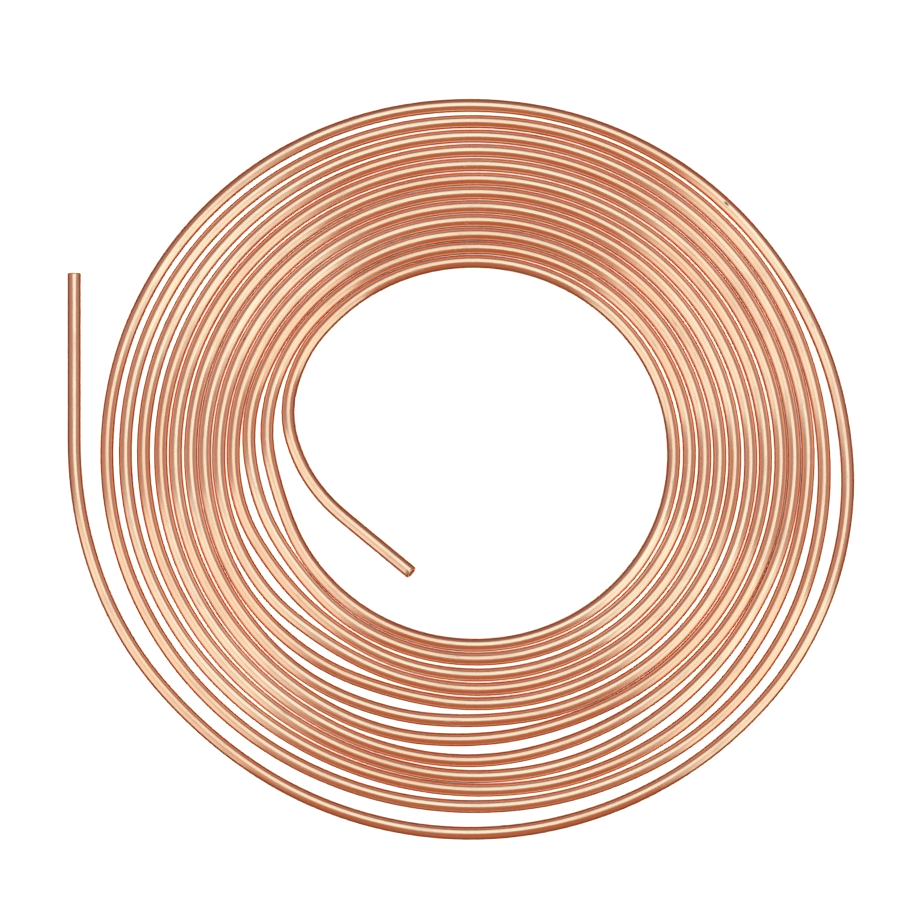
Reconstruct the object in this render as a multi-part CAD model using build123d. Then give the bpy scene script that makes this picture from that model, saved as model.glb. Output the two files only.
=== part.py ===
from build123d import *
import math
import os

# A length of round copper tube, wound as a flat spiral one tube thick, lying on the ground.
# Millimetres and degrees. Seen from above it winds counter-clockwise from the outer end inward,
# and the outer end points along +Y. The turns are laid out about a point in the eye, and a
# winding angle grows inward along the tube, by 360 for each turn. The whole then moves so that
# the origin is on the ground under the middle of its outline.

# Tube
tube_od = 4.76             # 3/16 in
tube_wall = 0.90
edge_break = 0.45          # the outer rim of each cut end is rounded over
inner_cut_tilt = 18.0      # the inner end is cut off at a slant, so its face looks up by this
trim = 1.0                 # what the slanted cut takes off the lower side
bore_d = tube_od - 2 * tube_wall

# Lanes. Each lane is a ring about the eye. The tube runs round one lane, jogs one lane inward
# and goes on, so lane 0 is the innermost and the last lane is the outermost.
lanes = 12
eye_radius = 69.5          # mean radius of the eye
turn_gap = 0.36            # between lanes 0 and 1
turn_gap_growth = 0.022    # each lane further out is looser by twice this
eye_shift = (-1.13, 3.10)  # the middle of lane 0
lane_shift = (0.158, -0.132)  # how far the middle moves back with each lane outward
oval = 1.30                # lane 0 is this much further out along X, and further in along Y
oval_per_lane = 0.105
skew = -0.15               # the same along the two diagonals
skew_per_lane = -0.053

# Jogs, counted outward. Each one comes later round the ring than the one inside it, and takes
# a longer stretch.
jog_angle = 176.0
jog_delay = 13.1
jog_delay_growth = 0.336
jog_sweep = 45.3
jog_sweep_growth = 3.73

# Some turns lie loose, most of all the outermost and innermost ones: winding angle, reach each
# way and how far out they stand there
loose_spots = [
    (226, 103, 5.3),
    (360, 89, -1.9),
    (534, 121, 3.2),
    (700, 127, -2.3),
    (888, 92, 2.0),
    (1047, 145, -1.6),
    (1242, 88, 0.9),
    (1407, 145, -0.8),
    (2392, 219, -0.3),
    (2451, 127, 0.8),
    (3888, 121, -0.6),
    (4284, 195, -0.6),
]

# Even stations that the tube passes through, and the bends that lead to its two straight ends:
# winding angle and how far outside the spiral the tube stands there
first_station = 270
station_step = 20
inner_leave = 130
outer_bend = [(177, 6.8), (190, 4.76), (205, 3.0), (225, 0.6), (245, 0.0)]
inner_bend = [(150, -0.35), (165, -2.85), (182, -10.13), (192.5, -15.2), (204, -20.18)]
outer_end_way = 90.0
outer_end_length = 61.5
inner_end_way = -39.5
inner_end_length = 31.0    # along its lower side, which is the longest


def ease(t):
    """A smooth step from 0 to 1, level at both ends."""
    t = min(max(t, 0.0), 1.0)
    return t ** 3 * (t * (6 * t - 15) + 10)


def lane(winding):
    """The lane at a winding angle, with a fraction on a jog."""
    at = float(lanes)
    for jog in range(lanes):
        middle = jog_angle + jog_delay * jog + jog_delay_growth * jog ** 2 + 360 * (lanes - 1 - jog)
        sweep = jog_sweep + jog_sweep_growth * jog
        at -= ease((winding - middle) / sweep + 0.5)
    return at


def radius(winding):
    """How far the middle of the tube is from the point that the turns are laid out about."""
    at = lane(winding)
    turn = math.radians(winding)
    r = eye_radius + tube_od / 2 + (tube_od + turn_gap) * at + turn_gap_growth * at ** 2
    r += (eye_shift[0] + lane_shift[0] * at) * math.cos(turn)
    r += (eye_shift[1] + lane_shift[1] * at) * math.sin(turn)
    r += (oval + oval_per_lane * at) * math.cos(2 * turn)
    r += (skew + skew_per_lane * at) * math.sin(2 * turn)
    for middle, reach, lift in loose_spots:
        r += lift * (1 - ease(abs(winding - middle) / reach))
    return r


def station(winding, stand_off=0.0):
    """The middle of the tube at a winding angle, on the ground."""
    turn = math.radians(winding)
    return Vector(math.cos(turn), math.sin(turn), 0) * (radius(winding) + stand_off)


def heading(before, here, after):
    """The way along the circle through three points, at the middle one."""
    a = here - before
    b = after - here
    return (a * (b.length / a.length) + b * (a.length / b.length)).normalized()


def two_arcs(start, start_way, end, end_way):
    """Two arcs that leave start and reach end the given ways, tangent where they meet."""
    across = end - start
    along = across.dot(start_way + end_way)
    spread = 2 * (1 - start_way.dot(end_way))
    if spread > 1e-9:
        reach = (math.sqrt(along ** 2 + spread * across.dot(across)) - along) / spread
    else:
        reach = across.dot(across) / (2 * along)
    middle = (start + start_way * reach + end - end_way * reach) * 0.5
    first = TangentArc(start, middle, tangent=start_way)
    second = TangentArc(middle, end, tangent=first % 1)
    return [first, second]


def route():
    """The middle line of the whole tube, from the outer end to the inner end."""
    last_turn = 360 * lanes
    points = [station(winding, stand_off) for winding, stand_off in outer_bend]
    for winding in range(first_station, last_turn + inner_leave + 1, station_step):
        points.append(station(winding))
    points += [station(last_turn + angle, stand_off) for angle, stand_off in inner_bend]
    outer_way = Vector(1, 0, 0).rotate(Axis.Z, outer_end_way)
    inner_way = Vector(1, 0, 0).rotate(Axis.Z, inner_end_way)
    ways = [heading(*points[i - 1:i + 2]) for i in range(1, len(points) - 1)]
    ways = [outer_way * -1] + ways + [inner_way]
    edges = [Line(points[0] + outer_way * outer_end_length, points[0])]
    for i in range(len(points) - 1):
        edges += two_arcs(points[i], ways[i], points[i + 1], ways[i + 1])
    edges += [Line(points[-1], points[-1] + inner_way * (inner_end_length + trim))]
    path = Wire([e.edge() for e in edges])
    outline = path.bounding_box().center()
    return Pos(-outline.X, -outline.Y, tube_od / 2) * path


def hollow_tube(path):
    """The tube along a path, open at both square ends, made from its outer and inner skins."""
    ends = [Plane(path @ at, z_dir=path % at) for at in (0, 1)]
    outside = sweep(ends[0] * Circle(tube_od / 2), path=path)
    inside = sweep(ends[0] * Circle(bore_d / 2), path=path)
    skins = [f for s in (outside, inside) for f in s.faces() if f.geom_type != GeomType.PLANE]
    cuts = [(end * (Circle(tube_od / 2) - Circle(bore_d / 2))).face() for end in ends]
    return Solid(Shell(skins + cuts))


def cut_inner_end(tube, path):
    """The tube with its inner end cut off at a slant."""
    way = path % 1
    low = path @ 1 - way * trim - Vector(0, 0, tube_od / 2)
    face = way.rotate(Axis((0, 0, 0), way.cross(Vector(0, 0, 1))), inner_cut_tilt)
    slant = Plane(low, z_dir=face)
    waste = slant * Box(3 * tube_od, 3 * tube_od, 3 * tube_od, align=(Align.CENTER, Align.CENTER, Align.MIN))
    return (tube - waste).solid()


def round_rims(tube):
    """The tube with the outer rims of its cut ends rounded over."""
    cuts = tube.faces().filter_by(GeomType.PLANE)
    return fillet([cut.edges().sort_by(SortBy.LENGTH)[-1] for cut in cuts], edge_break)


def print_facts(path, tube):
    """The tube's length and tightest bend, the least room between turns, and its volume."""
    bends = [e.radius for e in path.edges() if e.geom_type == GeomType.CIRCLE]
    last = 360 * (lanes - 1) + inner_leave
    room = [radius(w) - radius(w + 360) - tube_od for w in range(first_station, last)]
    section = math.pi / 4 * (tube_od ** 2 - bore_d ** 2)
    print(f"length {path.length:.1f}, tightest bend {min(bends):.1f}, least gap {min(room):.2f}")
    length = path.length - trim - tube_od / 2 * math.tan(math.radians(inner_cut_tilt))
    print(f"volume {tube.volume:.0f}, section times middle length {section * length:.0f}")
    print(f"outer end {path @ 0}, inner end {path @ 1 - path % 1 * trim}, inner way {path % 1}")


path = route()
copper_tube = round_rims(cut_inner_end(hollow_tube(path), path))
print_facts(path, copper_tube)

os.makedirs("parts", exist_ok=True)
export_step(copper_tube, "parts/copper_tube.step")
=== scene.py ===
import math

import bmesh
import bpy
from mathutils import Matrix, Vector


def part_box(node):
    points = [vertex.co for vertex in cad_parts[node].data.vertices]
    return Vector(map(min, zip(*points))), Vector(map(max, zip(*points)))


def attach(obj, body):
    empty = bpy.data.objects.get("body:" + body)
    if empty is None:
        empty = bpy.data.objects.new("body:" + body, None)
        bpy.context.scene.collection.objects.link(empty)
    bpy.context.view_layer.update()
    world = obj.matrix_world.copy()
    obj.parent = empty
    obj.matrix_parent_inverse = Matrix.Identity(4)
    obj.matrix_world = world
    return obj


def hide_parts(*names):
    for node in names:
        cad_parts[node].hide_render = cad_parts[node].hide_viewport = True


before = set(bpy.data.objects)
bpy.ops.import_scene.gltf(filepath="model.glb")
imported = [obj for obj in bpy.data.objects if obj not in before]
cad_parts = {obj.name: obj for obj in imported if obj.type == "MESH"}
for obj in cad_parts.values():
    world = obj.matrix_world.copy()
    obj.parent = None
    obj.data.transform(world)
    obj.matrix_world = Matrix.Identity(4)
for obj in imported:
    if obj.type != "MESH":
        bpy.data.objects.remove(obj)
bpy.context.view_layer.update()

# The camera
# Straight above the coil, and far enough away to see straight down between the turns all round.
# The photograph is 900 pixels wide, and each shows 0.366 mm at the height of the tube's middle.
photo_width = 900
metres_per_pixel = 0.000366
view_middle = Vector((-0.0040, 0.00745))
camera_height = 3.0
tube_middle_height = 0.00238

camera_data = bpy.data.cameras.new("camera")
camera_data.type = "PERSP"
camera_data.sensor_width = 36.0
view_width = photo_width * metres_per_pixel
camera_data.lens = camera_data.sensor_width * (camera_height - tube_middle_height) / view_width
camera_data.clip_start = 0.1
camera_data.clip_end = 50.0
camera = bpy.data.objects.new("camera", camera_data)
camera.location = (view_middle.x, view_middle.y, camera_height)
bpy.context.scene.collection.objects.link(camera)
bpy.context.scene.camera = camera
bpy.context.scene.view_settings.view_transform = "Standard"

# The tube
# One length of soft drawn copper tube, wound in the works into a flat spiral and cut off at
# both ends. The turns only lie beside each other, and each ring jogs inward to the next.
tube_od = 0.00476
tube_wall = 0.00090
rim_round = 0.00045        # the outer rim of each cut end
bore_rim_round = 0.00010   # and its inner rim
rim_steps = 4
bore_rim_steps = 1
sides = 24                 # of the tube's section
ring_spacing = 0.0040      # between one ring of the mesh and the next
least_bend = 1e-6          # an arc that bends less is straight
least_spread = 1e-9        # two ways that differ less are one
smooth_angle = 40.0

# The mesh's material slots
skin_slot = 0
cut_slot = 1
bore_slot = 2

# Lanes: the tube runs round one lane, jogs one lane inward and goes on. Lane 0 is the innermost.
lanes = 12
eye_radius = 0.0695
turn_gap = 0.00036
turn_gap_growth = 0.000022
eye_shift = (-0.00113, 0.00310)
lane_shift = (0.000158, -0.000132)
oval = 0.00130
oval_per_lane = 0.000105
skew = -0.00015
skew_per_lane = -0.000053

# Jogs, counted outward: each comes later round the ring than the one inside it, and takes longer
jog_angle = 176.0
jog_delay = 13.1
jog_delay_growth = 0.336
jog_sweep = 45.3
jog_sweep_growth = 3.73

# Loose turns: winding angle, reach each way and how far out they stand there
loose_spots = [
    (226, 103, 0.0053),
    (360, 89, -0.0019),
    (534, 121, 0.0032),
    (700, 127, -0.0023),
    (888, 92, 0.0020),
    (1047, 145, -0.0016),
    (1242, 88, 0.0009),
    (1407, 145, -0.0008),
    (2392, 219, -0.0003),
    (2451, 127, 0.0008),
    (3888, 121, -0.0006),
    (4284, 195, -0.0006),
]

# Even stations that the tube passes through, and the bends that lead to its two straight ends:
# winding angle and how far outside the spiral the tube stands there
first_station = 270
station_step = 20
inner_leave = 130
outer_bend = [(177, 0.0068), (190, 0.00476), (205, 0.0030), (225, 0.0006), (245, 0.0)]
inner_bend = [(150, -0.00035), (165, -0.00285), (182, -0.01013), (192.5, -0.0152), (204, -0.02018)]
outer_end_way = 90.0
outer_end_length = 0.0615
inner_end_way = -39.5
inner_end_length = 0.0310
inner_cut_tilt = 18.0
trim = 0.0010              # what the slanted cut takes off the lower side

# Colours of the skin, the sawn ends, the rubbed spots, the specks and the bore
bright_copper = (0.95, 0.65, 0.54)
warm_copper = (0.93, 0.55, 0.42)
dulled_copper = (0.82, 0.50, 0.40)
fresh_copper = (0.95, 0.68, 0.58)
dark_copper = (0.33, 0.17, 0.11)
speck_brown = (0.11, 0.055, 0.04)
bore_brown = (0.50, 0.24, 0.15)

# Patterns, in spots to the metre: the die's lines, the tone that wanders, duller patches, rubbed
# streaks, the saw's scratches and the bore's browner clouds
line_scale = 1500.0
wander_scale = 9.0
patch_scale = 70.0
rub_scale = 1100.0
scratch_scale = 6000.0
cloud_scale = 700.0

# How deep the lines and scratches are, and how rough each surface is
line_depth = 0.000003
scratch_depth = 0.00002
skin_roughness = (0.13, 0.21)
patch_roughness = 0.08     # what a dull patch adds
rubbed_roughness = 0.25    # what a speck or a rubbed spot adds
cut_roughness = (0.42, 0.60)
bore_roughness = (0.45, 0.65)
cut_metal_share = 0.35     # a sawn face scatters light, where the skin mirrors it
dull_share = 0.5           # how far a patch is dulled, at most
rubbed_share = 0.5         # and how far a rubbed spot is darkened

# Specks and rubbed spots: place, the way they run, length, width and how dark they are
specks = [
    (0.0886, -0.0434, 61, 0.0042, 0.0008, 0.55),
    (0.0971, 0.0972, 136, 0.0026, 0.0009, 0.95),
    (0.1038, 0.0771, 127, 0.0027, 0.0006, 0.80),
    (-0.0792, 0.0477, 62, 0.0020, 0.0007, 0.70),
    (0.0078, 0.1076, 179, 0.0016, 0.0006, 0.40),
    (0.1092, -0.0035, 87, 0.0026, 0.0004, 0.50),
    (-0.0725, -0.0564, 127, 0.0008, 0.0005, 0.70),
    (0.0270, 0.1054, 169, 0.0009, 0.0005, 0.60),
    (-0.0105, 0.1044, 9, 0.0009, 0.0005, 0.55),
    (-0.0543, 0.0576, 48, 0.0007, 0.0005, 0.60),
]


def ease(t):
    """A smooth step from 0 to 1, level at both ends."""
    t = min(max(t, 0.0), 1.0)
    return t ** 3 * (t * (6 * t - 15) + 10)


def lane(winding):
    """The lane at a winding angle, with a fraction on a jog."""
    at = float(lanes)
    for jog in range(lanes):
        middle = jog_angle + jog_delay * jog + jog_delay_growth * jog ** 2 + 360 * (lanes - 1 - jog)
        sweep = jog_sweep + jog_sweep_growth * jog
        at -= ease((winding - middle) / sweep + 0.5)
    return at


def radius(winding):
    """How far the middle of the tube is from the point that the turns are laid out about."""
    at = lane(winding)
    turn = math.radians(winding)
    r = eye_radius + tube_od / 2 + (tube_od + turn_gap) * at + turn_gap_growth * at ** 2
    r += (eye_shift[0] + lane_shift[0] * at) * math.cos(turn)
    r += (eye_shift[1] + lane_shift[1] * at) * math.sin(turn)
    r += (oval + oval_per_lane * at) * math.cos(2 * turn)
    r += (skew + skew_per_lane * at) * math.sin(2 * turn)
    for middle, reach, lift in loose_spots:
        r += lift * (1 - ease(abs(winding - middle) / reach))
    return r


def station(winding, stand_off=0.0):
    """The middle of the tube at a winding angle, seen from above."""
    turn = math.radians(winding)
    return Vector((math.cos(turn), math.sin(turn))) * (radius(winding) + stand_off)


def heading(before, here, after):
    """The way along the circle through three points, at the middle one."""
    a = here - before
    b = after - here
    return (a * (b.length / a.length) + b * (a.length / b.length)).normalized()


def arc(start, way, end):
    """Points after start on the arc that leaves it the given way and reaches end."""
    across = end - start
    bend = math.atan2(way.cross(across), way.dot(across))
    length = across.length * (bend / math.sin(bend) if abs(bend) > least_bend else 1.0)
    count = max(1, round(length / ring_spacing))
    points = []
    for i in range(1, count + 1):
        part = i / count
        size = math.sin(bend * part) / math.sin(bend) if abs(bend) > least_bend else part
        turned = Matrix.Rotation(bend * part, 2) @ way
        points.append(start + turned * (across.length * size))
    return points


def two_arcs(start, start_way, end, end_way):
    """Points along two arcs that leave start and reach end the given ways."""
    across = end - start
    along = across.dot(start_way + end_way)
    spread = 2 * (1 - start_way.dot(end_way))
    if spread > least_spread:
        reach = (math.sqrt(along ** 2 + spread * across.dot(across)) - along) / spread
    else:
        reach = across.dot(across) / (2 * along)
    middle = (start + start_way * reach + end - end_way * reach) * 0.5
    chord = middle - start
    way = 2 * chord * (chord.dot(start_way) / chord.dot(chord)) - start_way
    return arc(start, start_way, middle) + arc(middle, way, end)


def straight(start, end):
    """Points after start along a straight end of the tube."""
    count = round((end - start).length / ring_spacing)
    return [start.lerp(end, i / count) for i in range(1, count + 1)]


def route():
    """The middle line of the whole tube, from the outer end to the inner end."""
    last_turn = 360 * lanes
    stops = [station(winding, stand_off) for winding, stand_off in outer_bend]
    for winding in range(first_station, last_turn + inner_leave + 1, station_step):
        stops.append(station(winding))
    stops += [station(last_turn + angle, stand_off) for angle, stand_off in inner_bend]
    outer_turn = math.radians(outer_end_way)
    inner_turn = math.radians(inner_end_way)
    outer_way = Vector((math.cos(outer_turn), math.sin(outer_turn)))
    inner_way = Vector((math.cos(inner_turn), math.sin(inner_turn)))
    ways = [heading(*stops[i - 1:i + 2]) for i in range(1, len(stops) - 1)]
    ways = [-outer_way] + ways + [inner_way]
    outer_tip = stops[0] + outer_way * outer_end_length
    points = [outer_tip] + straight(outer_tip, stops[0])
    for i in range(len(stops) - 1):
        points += two_arcs(stops[i], ways[i], stops[i + 1], ways[i + 1])
    return points + straight(stops[-1], stops[-1] + inner_way * (inner_end_length + trim))


def centred(points):
    """The points moved so that their outline has the same middle as the solid tube."""
    low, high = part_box("copper_tube")
    right = max(p.x for p in points) + min(p.x for p in points)
    back = max(p.y for p in points) + min(p.y for p in points)
    move = Vector((low[0] + high[0] - right, low[1] + high[1] - back)) / 2
    return [p + move for p in points]


def tube_skin(points):
    """The outer skin of the tube along the points, open at both ends and lying on the floor."""
    bpy.ops.object.select_all(action="DESELECT")
    bpy.ops.curve.primitive_nurbs_path_add(radius=1.0, location=(0, 0, 0))
    path = bpy.context.object
    path.data.splines.clear()
    line = path.data.splines.new("POLY")
    line.points.add(len(points) - 1)
    for p, at in zip(line.points, points):
        p.co = (at.x, at.y, tube_od / 2, 1.0)
    path.data.twist_mode = "Z_UP"
    path.data.bevel_depth = tube_od / 2
    path.data.bevel_resolution = sides // 2 - 2    # a round bevel has 2 * (this + 2) sides
    bpy.ops.object.convert(target="MESH")
    return bpy.context.object


def cut_inner_end(tube, tip, way):
    """Cuts the inner end off at a slant, so that its face looks up, and closes the cut wall."""
    tilt = math.radians(inner_cut_tilt)
    face = Vector((way.x * math.cos(tilt), way.y * math.cos(tilt), math.sin(tilt)))
    low = Vector((tip.x, tip.y, 0.0)) - Vector((way.x, way.y, 0.0)) * trim
    cut_reach = 4 * ring_spacing
    for f in tube.data.polygons:
        f.select = (f.center.xy - tip).length < cut_reach
    bpy.ops.object.mode_set(mode="EDIT")
    bpy.ops.mesh.bisect(plane_co=low, plane_no=face, clear_outer=True)
    bpy.ops.mesh.select_mode(type="EDGE")
    bpy.ops.mesh.select_all(action="DESELECT")
    bpy.ops.mesh.select_non_manifold()
    bpy.ops.mesh.bridge_edge_loops()
    bpy.ops.object.mode_set(mode="OBJECT")
    for f in tube.data.polygons:
        if f.select:
            f.material_index = cut_slot


def end_loops(mesh, inside):
    """The edges of the cut ends that lie on the bore, or on the outer skin."""
    wanted = {cut_slot, bore_slot} if inside else {skin_slot, cut_slot}
    return [e for e in mesh.edges if {f.material_index for f in e.link_faces} == wanted]


def round_ends(tube):
    """Takes the sharp edges off the cut ends."""
    mesh = bmesh.new()
    mesh.from_mesh(tube.data)
    rims = ((False, rim_round, rim_steps), (True, bore_rim_round, bore_rim_steps))
    for inside, size, steps in rims:
        edges = end_loops(mesh, inside)
        bmesh.ops.bevel(mesh, geom=edges, offset=size, segments=steps, profile=0.5,
                        affect="EDGES", clamp_overlap=True)
    mesh.to_mesh(tube.data)
    mesh.free()


def link(tree, output, socket):
    """Joins a node's output to a socket, or sets the socket where a plain value is given."""
    if isinstance(output, bpy.types.NodeSocket):
        tree.links.new(output, socket)
    else:
        socket.default_value = output


def sum_node(tree, operation, a, b=None):
    """What a sum of the given kind makes of one or two values."""
    node = tree.nodes.new("ShaderNodeMath")
    node.operation = operation
    link(tree, a, node.inputs[0])
    if b is not None:
        link(tree, b, node.inputs[1])
    return node.outputs[0]


def stretched(tree, vector, along, around):
    """Coordinates times one number along the first axis, and times another on both across it."""
    node = tree.nodes.new("ShaderNodeVectorMath")
    node.operation = "MULTIPLY"
    link(tree, vector, node.inputs[0])
    node.inputs[1].default_value = (along, around, around)
    return node.outputs[0]


def noise(tree, vector, scale, detail):
    """Soft random spots, from about 0 to 1."""
    node = tree.nodes.new("ShaderNodeTexNoise")
    link(tree, vector, node.inputs["Vector"])
    node.inputs["Scale"].default_value = scale
    node.inputs["Detail"].default_value = detail
    return node.outputs[0]


def ramp(tree, value, low, high, to_low=0.0, to_high=1.0):
    """A value moved from one range to another, and kept inside it."""
    node = tree.nodes.new("ShaderNodeMapRange")
    link(tree, value, node.inputs["Value"])
    node.inputs["From Min"].default_value = low
    node.inputs["From Max"].default_value = high
    node.inputs["To Min"].default_value = to_low
    node.inputs["To Max"].default_value = to_high
    return node.outputs["Result"]


def mixed(tree, share, a, b):
    """One colour over another, by a share."""
    node = tree.nodes.new("ShaderNodeMix")
    node.data_type = "RGBA"
    link(tree, share, node.inputs["Factor"])
    link(tree, a, node.inputs["A"])
    link(tree, b, node.inputs["B"])
    return node.outputs["Result"]


def straightened(tree, length):
    """Coordinates in metres on the tube as if it lay straight, from its own map."""
    uv = tree.nodes.new("ShaderNodeUVMap")
    uv.uv_map = "UVMap"
    parts = tree.nodes.new("ShaderNodeSeparateXYZ")
    tree.links.new(uv.outputs["UV"], parts.inputs[0])
    turn = sum_node(tree, "MULTIPLY", parts.outputs["Y"], 2 * math.pi)
    whole = tree.nodes.new("ShaderNodeCombineXYZ")
    link(tree, sum_node(tree, "MULTIPLY", parts.outputs["X"], length), whole.inputs["X"])
    for operation, axis in (("COSINE", "Y"), ("SINE", "Z")):
        share = sum_node(tree, operation, turn)
        link(tree, sum_node(tree, "MULTIPLY", share, tube_od / 2), whole.inputs[axis])
    return whole.outputs[0]


def marks_on_top(tree, marks):
    """Where the few dark specks and rubbed spots are on the upper side of the tube."""
    place = tree.nodes.new("ShaderNodeTexCoord")
    shares = []
    for x, y, way, long, wide, depth in marks:
        spot = tree.nodes.new("ShaderNodeMapping")
        spot.vector_type = "TEXTURE"
        spot.inputs["Location"].default_value = (x, y, tube_od)
        spot.inputs["Rotation"].default_value = (0.0, 0.0, math.radians(way))
        spot.inputs["Scale"].default_value = (long / 2, wide / 2, tube_od / 2)
        tree.links.new(place.outputs["Object"], spot.inputs["Vector"])
        far = tree.nodes.new("ShaderNodeVectorMath")
        far.operation = "LENGTH"
        tree.links.new(spot.outputs[0], far.inputs[0])
        shares.append(ramp(tree, far.outputs["Value"], low=1.15, high=0.35, to_high=depth))
    whole = shares[0]
    for share in shares[1:]:
        whole = sum_node(tree, "MAXIMUM", whole, share)
    return whole


def finish(name, metal, roughness):
    """A new metal finish, with its shader."""
    material = bpy.data.materials.new(name)
    material.use_nodes = True
    tree = material.node_tree
    shader = tree.nodes["Principled BSDF"]
    shader.inputs["Metallic"].default_value = 1.0
    shader.inputs["Roughness"].default_value = roughness
    shader.inputs["Base Color"].default_value = (*metal, 1.0)
    return material, tree, shader


def bump(tree, shader, height, depth):
    """Raises the surface by a height from 0 to 1, times a depth in metres."""
    node = tree.nodes.new("ShaderNodeBump")
    node.inputs["Strength"].default_value = 1.0
    node.inputs["Distance"].default_value = depth
    tree.links.new(height, node.inputs["Height"])
    tree.links.new(node.outputs["Normal"], shader.inputs["Normal"])


def drawn_copper(length):
    """Bright copper as the die leaves it: fine lines along the tube, and a tone that wanders."""
    material, tree, shader = finish("drawn_copper", bright_copper, roughness=0.25)
    at = straightened(tree, length)
    lines = noise(tree, stretched(tree, at, along=0.02, around=1.0), line_scale, detail=2.0)
    wander = noise(tree, stretched(tree, at, along=1.0, around=6.0), wander_scale, detail=2.0)
    patches = noise(tree, stretched(tree, at, along=1.0, around=3.0), patch_scale, detail=4.0)
    rubs = noise(tree, stretched(tree, at, along=0.12, around=1.0), rub_scale, detail=1.0)
    worn = ramp(tree, patches, low=0.50, high=0.62)
    rubbed = sum_node(tree, "MULTIPLY", ramp(tree, rubs, low=0.70, high=0.80), worn)
    grime = marks_on_top(tree, specks)
    warm = ramp(tree, wander, low=0.40, high=0.60)
    dull = ramp(tree, patches, low=0.52, high=0.72, to_high=dull_share)
    tone = mixed(tree, warm, (*bright_copper, 1.0), (*warm_copper, 1.0))
    tone = mixed(tree, dull, tone, (*dulled_copper, 1.0))
    darker = sum_node(tree, "MULTIPLY", rubbed, rubbed_share)
    tone = mixed(tree, darker, tone, (*dark_copper, 1.0))
    tone = mixed(tree, grime, tone, (*speck_brown, 1.0))
    tree.links.new(tone, shader.inputs["Base Color"])
    rough = ramp(tree, lines, 0.3, 0.7, *skin_roughness)
    rough = sum_node(tree, "ADD", rough, ramp(tree, patches, low=0.4, high=0.7, to_high=patch_roughness))
    spots = sum_node(tree, "MAXIMUM", grime, rubbed)
    rougher = sum_node(tree, "MULTIPLY", spots, rubbed_roughness)
    tree.links.new(sum_node(tree, "ADD", rough, rougher), shader.inputs["Roughness"])
    bump(tree, shader, lines, line_depth)
    return material


def cut_copper():
    """The fresh metal of a cut end, with the saw's scratches across it."""
    material, tree, shader = finish("cut_copper", fresh_copper, roughness=0.5)
    shader.inputs["Metallic"].default_value = cut_metal_share
    place = tree.nodes.new("ShaderNodeTexCoord")
    across = stretched(tree, place.outputs["Object"], along=0.15, around=1.0)
    scratches = noise(tree, across, scratch_scale, detail=2.0)
    warm = ramp(tree, scratches, low=0.35, high=0.65)
    rough = ramp(tree, scratches, 0.3, 0.7, *cut_roughness)
    tone = mixed(tree, warm, (*fresh_copper, 1.0), (*warm_copper, 1.0))
    tree.links.new(tone, shader.inputs["Base Color"])
    tree.links.new(rough, shader.inputs["Roughness"])
    bump(tree, shader, scratches, scratch_depth)
    return material


def dull_bore():
    """The inside of the tube, browner and rougher than the outside."""
    material, tree, shader = finish("dull_bore", dark_copper, roughness=0.5)
    place = tree.nodes.new("ShaderNodeTexCoord")
    cloud = noise(tree, place.outputs["Object"], cloud_scale, detail=3.0)
    brown = ramp(tree, cloud, low=0.35, high=0.65)
    rough = ramp(tree, cloud, 0.3, 0.7, *bore_roughness)
    tone = mixed(tree, brown, (*dark_copper, 1.0), (*bore_brown, 1.0))
    tree.links.new(tone, shader.inputs["Base Color"])
    tree.links.new(rough, shader.inputs["Roughness"])
    return material


tube_points = centred(route())
tube_length = sum((b - a).length for a, b in zip(tube_points, tube_points[1:]))
tube = tube_skin(tube_points)
tube.name = "drawn_tube"
tube.data.name = "drawn_tube"
tube.data.materials.clear()
tube.data.materials.append(drawn_copper(tube_length))
tube.data.materials.append(cut_copper())
tube.data.materials.append(dull_bore())
inner_way = (tube_points[-1] - tube_points[-2]).normalized()
inner_tip = tube_points[-1]
wall = tube.modifiers.new("wall", "SOLIDIFY")
wall.thickness = tube_wall
wall.offset = -1.0
wall.material_offset_rim = cut_slot
wall.material_offset = bore_slot
bpy.ops.object.modifier_apply(modifier="wall")
cut_inner_end(tube, inner_tip, inner_way)
round_ends(tube)
bpy.ops.object.shade_smooth_by_angle(angle=math.radians(smooth_angle))
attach(tube, "root")
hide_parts("copper_tube")

# The floor
# A plain sheet of white paper under two round lights of its own, straight above it. Little of
# the wide one reaches the paper through a narrow gap between turns. Most of the narrow one does,
# and it is a warm red, so the narrow gaps look like copper and the open paper stays white.
floor_half = 15.0
paper_white = 0.80
floor_lights_height = 6.0
# Degrees from a light's middle to its rim, seen from the coil, and how bright it makes the floor
wide_light_reach = 20.0
wide_light_shine = (0.82, 0.76, 0.74)
narrow_light_reach = 7.0
narrow_light_shine = (1.45, 0.58, 0.40)

bpy.ops.object.select_all(action="DESELECT")
bpy.ops.mesh.primitive_plane_add(size=2 * floor_half, location=(0, 0, 0))
floor = bpy.context.object
floor.name = "floor"
paper = bpy.data.materials.new("white_paper")
paper.use_nodes = True
paper_shader = paper.node_tree.nodes["Principled BSDF"]
paper_shader.inputs["Base Color"].default_value = (paper_white, paper_white, paper_white, 1.0)
paper_shader.inputs["Roughness"].default_value = 1.0
paper_shader.inputs["Specular IOR Level"].default_value = 0.0
floor.data.materials.append(paper)
floor.visible_glossy = False


def floor_light(name, height, reach, shine):
    """A round light above that makes the paper as bright as its shine, and shows in no metal."""
    data = bpy.data.lights.new(name, "AREA")
    data.shape = "DISK"
    data.size = 2 * height * math.tan(math.radians(reach))
    spread = math.sin(math.radians(reach)) ** 2
    data.color = [part / max(shine) for part in shine]
    area = math.pi * data.size ** 2 / 4
    data.energy = max(shine) / paper_white / spread * math.pi * area
    lamp = bpy.data.objects.new(name, data)
    lamp.location = (0.0, 0.0, height)
    lamp.visible_glossy = False
    lamp.visible_camera = False
    bpy.context.scene.collection.objects.link(lamp)


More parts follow.
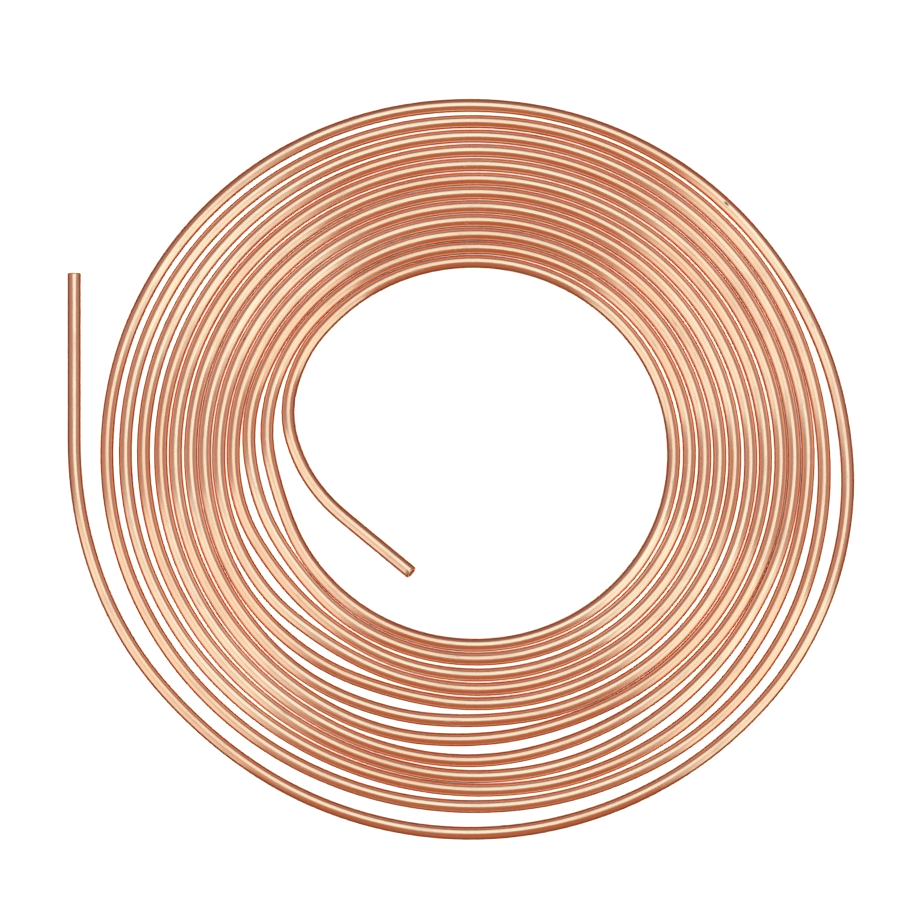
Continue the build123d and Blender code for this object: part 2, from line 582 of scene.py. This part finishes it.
floor_light("wide_floor_light", floor_lights_height, wide_light_reach, wide_light_shine)
floor_light("narrow_floor_light", floor_lights_height, narrow_light_reach, narrow_light_shine)

# The lights
# A large soft light overhead, and two tall soft panels that stand upright at the near left and
# right. The upper part of each panel is dimmer, and reaches to the overhead light.
left_way = 212             # degrees counter-clockwise from +X
right_way = 322
left_width = 0.86
right_width = 0.68
top_shine = (0.48, 0.86, 0.78)


def panel(name, azimuth, elevation, distance, width, height, shine, upright=True):
    """A soft panel of even brightness, seen from the coil at the given place."""
    a = math.radians(azimuth)
    e = math.radians(elevation)
    place = Vector((math.cos(a) * math.cos(e), math.sin(a) * math.cos(e), math.sin(e))) * distance
    data = bpy.data.lights.new(name, "AREA")
    data.shape = "RECTANGLE"
    data.size = width
    data.size_y = height
    data.color = [part / max(shine) for part in shine]
    data.energy = max(shine) * width * height * math.pi
    lamp = bpy.data.objects.new(name, data)
    lamp.location = place
    lamp.visible_camera = False
    lamp.visible_diffuse = False
    faces = Vector((place.x, place.y, 0.0)) if upright else place
    lamp.rotation_euler = faces.to_track_quat("Z", "Y").to_euler()
    bpy.context.scene.collection.objects.link(lamp)


panel("overhead", azimuth=74, elevation=68, distance=2.6, width=2.9, height=2.6,
      shine=(0.60, 0.95, 0.88), upright=False)
panel("left_panel", left_way, elevation=43, distance=1.4, width=left_width, height=1.9,
      shine=(0.62, 0.96, 0.87))
panel("left_top", left_way, elevation=80.0, distance=5.89, width=left_width, height=7.8,
      shine=top_shine)
panel("right_panel", right_way, elevation=43, distance=1.4, width=right_width, height=1.9,
      shine=(0.62, 1.10, 1.00))
panel("right_top", right_way, elevation=80.0, distance=5.89, width=right_width, height=7.8,
      shine=top_shine)

# The rest of the room
# Pale pink walls that darken toward the far side, an orange wall on the near side and brown
# below. Only the metal shows it: the camera sees plain white behind the paper.
pink_wall = (0.50, 0.32, 0.25, 1.0)
far_wall = (0.36, 0.21, 0.16, 1.0)
near_wall = (0.47, 0.18, 0.08, 1.0)
brown_below = (0.22, 0.11, 0.08, 1.0)
plain_white = (1.0, 1.0, 1.0, 1.0)

studio = bpy.data.worlds.new("studio")
bpy.context.scene.world = studio
studio.use_nodes = True
room = studio.node_tree
background = room.nodes["Background"]
outward = room.nodes.new("ShaderNodeTexCoord")
outward_parts = room.nodes.new("ShaderNodeSeparateXYZ")
room.links.new(outward.outputs["Generated"], outward_parts.inputs[0])
near = ramp(room, outward_parts.outputs["Y"], low=-0.15, high=-0.40)
below = ramp(room, outward_parts.outputs["Z"], low=0.10, high=-0.10)
far = ramp(room, outward_parts.outputs["Y"], low=0.30, high=0.85)
walls = mixed(room, far, pink_wall, far_wall)
walls = mixed(room, near, walls, near_wall)
walls = mixed(room, below, walls, brown_below)
seen = room.nodes.new("ShaderNodeLightPath")
shown = mixed(room, seen.outputs["Is Camera Ray"], walls, plain_white)
room.links.new(shown, background.inputs["Color"])
studio.cycles_visibility.diffuse = False
